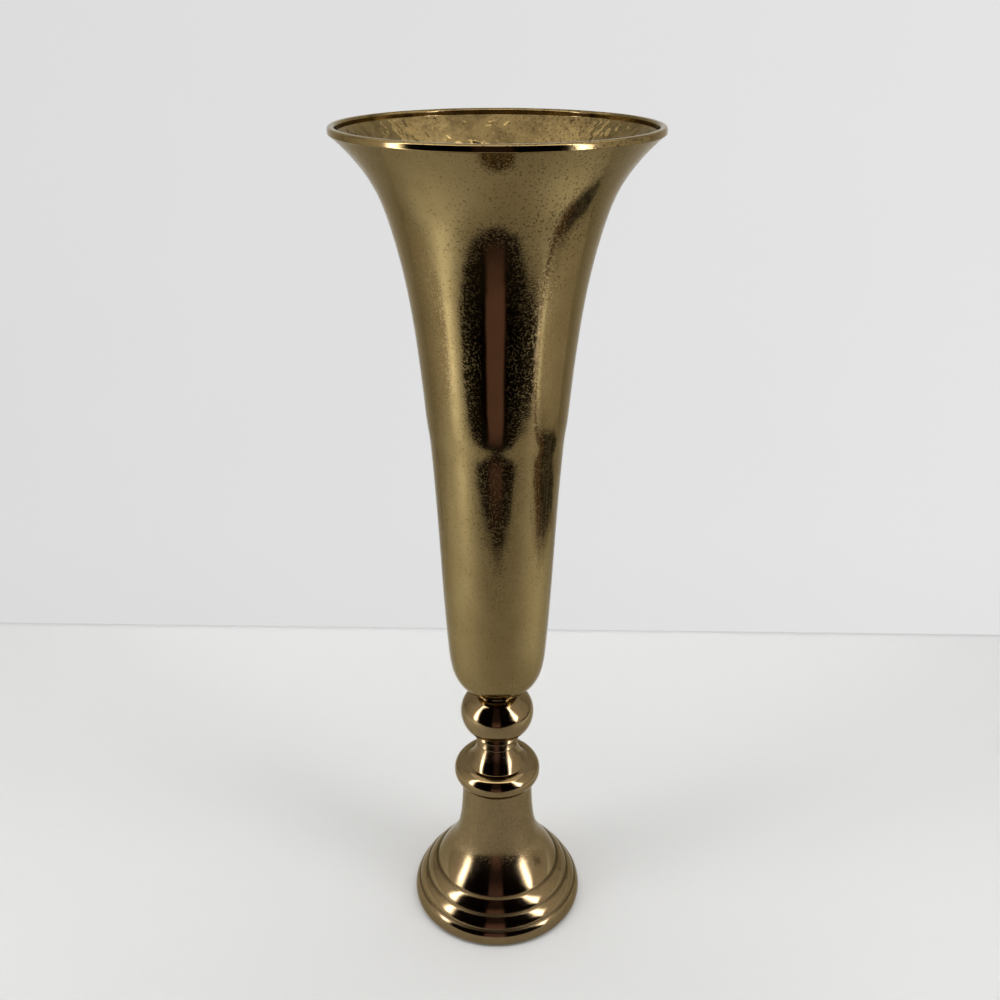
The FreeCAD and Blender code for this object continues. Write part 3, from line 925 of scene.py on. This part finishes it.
def top_fade(nodes):
    """The ceiling is brightest along its front edge, and brighter at both ends than in the middle."""
    x, y = nodes.axis("X"), nodes.axis("Y")
    ends = nodes.ramp(nodes.times(x, x), 0.03, 0.18, 1.0, 1.35)
    rise = nodes.ramp(y, BOX_FRONT + 0.26, BOX_FRONT + 0.12, 1.6, 6.0)
    edge = nodes.ramp(y, BOX_FRONT, BOX_FRONT + 0.09, 0.1, 1.0)
    return nodes.times(rise, ends, edge)


def room_fade(nodes):
    """A faint reddish post in the middle of the dark opening, fading upwards."""
    up = nodes.ramp(nodes.axis("Z"), 0.12, 0.34, 1.0, 0.18)
    post = nodes.within(nodes.axis("X"), -0.19, 0.12, 0.02)
    return nodes.plus(nodes.times(up, post, 0.36), 0.006)


def strip_fade(middle, spread, lean, low_share=1.0, low_light=0.02):
    """A strip's light: soft across its width. By the floor it falls to low_light and low_share as wide."""

    def fade(nodes):
        up = nodes.axis("Z")
        width = nodes.ramp(up, 0.25, 0.85, spread, spread * 0.55)
        width = nodes.times(width, nodes.ramp(up, 0.08, 0.25, low_share, 1.0))
        centre = nodes.ramp(up, 0.25, 0.6, middle + lean, middle)
        bell = nodes.bell(nodes.steps(nodes.axis("Y"), centre, width))
        return nodes.times(bell, nodes.ramp(up, STRIP_FOOT, STRIP_FOOT + 0.15, low_light, 1.0))

    return fade


def card(name, first, last, low, high, material):
    """An upright card between two points on the floor, which only the metal sees."""
    corners = [(*first, low), (*last, low), (*last, high), (*first, high)]
    return only_reflected(plane(name, corners, material))


def make_cards():
    sides = (
        ("left", (BOX_LEFT, BOX_FRONT), (BOX_LEFT, BOX_BACK), left_fade),
        ("right", (BOX_RIGHT, BOX_BACK), (BOX_RIGHT, BOX_FRONT), right_fade),
    )
    for side, first, last, fade in sides:
        card(f"{side}_card", first, last, 0, BOX_TOP, glow(f"{side}_glow", WARM, 1.0, fade))
    corners = [
        (BOX_LEFT, BOX_FRONT, BOX_TOP),
        (BOX_RIGHT, BOX_FRONT, BOX_TOP),
        (BOX_RIGHT, BOX_BACK, BOX_TOP),
        (BOX_LEFT, BOX_BACK, BOX_TOP),
    ]
    only_reflected(plane("top_card", corners, glow("top_glow", WARM, 1.0, top_fade)))
    room = glow("room_glow", POST_TONE, 1.0, room_fade)
    card("room_card", (-1.5, ROOM_FRONT), (1.2, ROOM_FRONT), 0, 1.8, room)
    left_strip_fade = strip_fade(middle=-0.335, spread=0.075, lean=-0.01)
    right_strip_fade = strip_fade(middle=-0.50, spread=0.075, lean=0.05, low_share=0.28, low_light=0.10)
    strips = (
        ("left", (-0.734, -0.496), (-0.866, -0.184), left_strip_fade),
        ("right", (0.546, -0.668), (0.804, -0.312), right_strip_fade),
    )
    for side, first, last, fade in strips:
        strip = glow(f"{side}_strip_glow", STRIP_TONE, STRIP_STRENGTH, fade, clear=True)
        card(f"{side}_strip", first, last, STRIP_FOOT, BOX_TOP, strip)
    card("right_sill", (0.56, -0.30), (0.56, 0.33), 0, 0.015, glow("sill_glow", WARM, 0.85))


def lamp(name, place, target, size, power):
    data = bpy.data.lights.new(name, "AREA")
    data.shape = "RECTANGLE"
    data.size, data.size_y = size
    data.energy = power
    obj = bpy.data.objects.new(name, data)
    obj.location = place
    obj.rotation_euler = (Vector(target) - Vector(place)).to_track_quat("-Z", "Y").to_euler()
    obj.visible_glossy = False
    obj.visible_camera = False
    bpy.context.scene.collection.objects.link(obj)


def make_lamps():
    side = {"target": (0, 0, 0.2), "size": (0.35, 1.3), "power": 3.7}
    lamp("top_lamp", (0, -0.1, 1.4), target=(0, 0, 0), size=(1.4, 0.9), power=7.4)
    lamp("left_lamp", (-0.85, -0.35, 0.7), **side)
    lamp("right_lamp", (0.75, -0.42, 0.7), **side)


def make_world():
    """A pale surround: as bright as the wall to the eye and the metal, and a soft fill on matt surfaces."""
    fill, full = 0.45, 1.0
    world = bpy.data.worlds.new("studio")
    bpy.context.scene.world = world
    world.use_nodes = True
    tree = world.node_tree
    background = tree.nodes["Background"]
    background.inputs["Color"].default_value = WALL_TONE
    path = tree.nodes.new("ShaderNodeLightPath")
    seen = tree.nodes.new("ShaderNodeMath")
    seen.operation = "ADD"
    tree.links.new(path.outputs["Is Camera Ray"], seen.inputs[0])
    tree.links.new(path.outputs["Is Glossy Ray"], seen.inputs[1])
    strength = tree.nodes.new("ShaderNodeMapRange")
    tree.links.new(seen.outputs[0], strength.inputs["Value"])
    strength.inputs["To Min"].default_value = fill
    strength.inputs["To Max"].default_value = full
    tree.links.new(strength.outputs["Result"], background.inputs["Strength"])


def make_camera():
    """The photograph's own camera, solved from the ellipses of the mouth and the foot."""
    focal_pixels = 1061.0
    frame_pixels = 1000.0
    axis_pixel = 497.2
    pitch = math.radians(25.34)
    place = (0, -0.6745, 0.6784)
    data = bpy.data.cameras.new("camera")
    data.sensor_width = 36.0
    data.lens = focal_pixels / frame_pixels * data.sensor_width
    data.shift_x = (frame_pixels / 2 - axis_pixel) / frame_pixels
    camera = bpy.data.objects.new("camera", data)
    camera.location = place
    camera.rotation_euler = (math.pi / 2 - pitch, 0, 0)
    bpy.context.scene.collection.objects.link(camera)
    bpy.context.scene.camera = camera


make_camera()
make_castings()
dress_hardware()
make_floor_and_wall()
make_cards()
make_lamps()
make_world()
bpy.context.scene.view_settings.view_transform = "Standard"
